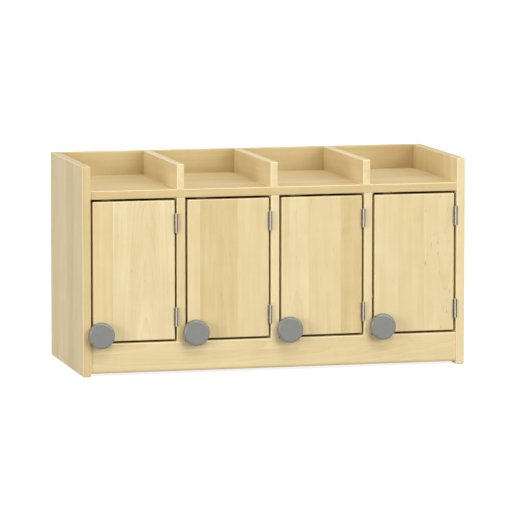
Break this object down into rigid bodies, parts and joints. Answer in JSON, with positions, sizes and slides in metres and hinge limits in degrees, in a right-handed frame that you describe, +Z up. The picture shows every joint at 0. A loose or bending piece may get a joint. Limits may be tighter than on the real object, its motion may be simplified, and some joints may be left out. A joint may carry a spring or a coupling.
{
  "type": "cloakroom cabinet",
  "caption": "Low wooden cloakroom cabinet: a row of lockers with hinged doors and round grey knobs, under open trays along the top.",
  "frame": {"origin": "on the floor, under the middle of the whole object's box, knobs included", "axes": "+X to the right seen from the front, +Y towards the back, +Z up; the doors face -Y"},
  "size_m": [1, 0.436, 0.533],
  "materials": {
    "birch_board": "edge-glued pale boards under clear satin lacquer",
    "beech_dowel": "bare turned wood",
    "grey_plastic": "fine matte moulded surface",
    "hinge_steel": "plated steel, satin",
    "screw_steel": "bright zinc plated",
    "catch_plastic": "brown moulded plastic",
    "magnet": "dark magnet between bare steel poles"
  },
  "bodies": {
    "carcass": {"side_panel_left": "birch_board", "side_panel_right": "birch_board", "tray_shelf": "birch_board", "bottom_panel": "birch_board", "front_rail": "birch_board", "back_panel": "birch_board", "partition_1": "birch_board", "tray_divider_1": "birch_board", "partition_2": "birch_board", "tray_divider_2": "birch_board", "partition_3": "birch_board", "tray_divider_3": "birch_board", "hinge_frame_leaf_1_lower": "hinge_steel", "hinge_frame_leaf_1_upper": "hinge_steel", "catch_1": "catch_plastic", "hinge_frame_leaf_2_lower": "hinge_steel", "hinge_frame_leaf_2_upper": "hinge_steel", "catch_2": "catch_plastic", "hinge_frame_leaf_3_lower": "hinge_steel", "hinge_frame_leaf_3_upper": "hinge_steel", "catch_3": "catch_plastic", "hinge_frame_leaf_4_lower": "hinge_steel", "hinge_frame_leaf_4_upper": "hinge_steel", "catch_4": "catch_plastic", "hinge_pins": "hinge_steel", "hinge_frame_screws": "screw_steel", "catch_magnets": "magnet", "catch_screws": "screw_steel", "back_screws": "screw_steel", "dowels": "beech_dowel"},
    "door_1": {"door_1": "birch_board", "knob_1": "grey_plastic", "knob_screw_1": "screw_steel", "strike_plate_1": "hinge_steel", "door_screws_1": "screw_steel", "hinge_door_leaf_1_lower": "hinge_steel", "hinge_door_leaf_1_upper": "hinge_steel"},
    "door_2": {"door_2": "birch_board", "knob_2": "grey_plastic", "knob_screw_2": "screw_steel", "strike_plate_2": "hinge_steel", "door_screws_2": "screw_steel", "hinge_door_leaf_2_lower": "hinge_steel", "hinge_door_leaf_2_upper": "hinge_steel"},
    "door_3": {"door_3": "birch_board", "knob_3": "grey_plastic", "knob_screw_3": "screw_steel", "strike_plate_3": "hinge_steel", "door_screws_3": "screw_steel", "hinge_door_leaf_3_lower": "hinge_steel", "hinge_door_leaf_3_upper": "hinge_steel"},
    "door_4": {"door_4": "birch_board", "knob_4": "grey_plastic", "knob_screw_4": "screw_steel", "strike_plate_4": "hinge_steel", "door_screws_4": "screw_steel", "hinge_door_leaf_4_lower": "hinge_steel", "hinge_door_leaf_4_upper": "hinge_steel"}
  },
  "joints": [
    {"name": "door_1_hinge", "type": "hinge", "parent": "carcass", "child": "door_1", "pos_m": [-0.2583, -0.19635, 0.26525], "axis": [0, 0, 1], "range_deg": [0, 130]},
    {"name": "door_2_hinge", "type": "hinge", "parent": "carcass", "child": "door_2", "pos_m": [-0.0138, -0.19635, 0.26525], "axis": [0, 0, 1], "range_deg": [0, 130]},
    {"name": "door_3_hinge", "type": "hinge", "parent": "carcass", "child": "door_3", "pos_m": [0.2307, -0.19635, 0.26525], "axis": [0, 0, 1], "range_deg": [0, 130]},
    {"name": "door_4_hinge", "type": "hinge", "parent": "carcass", "child": "door_4", "pos_m": [0.4752, -0.19635, 0.26525], "axis": [0, 0, 1], "range_deg": [0, 170]}
  ]
}
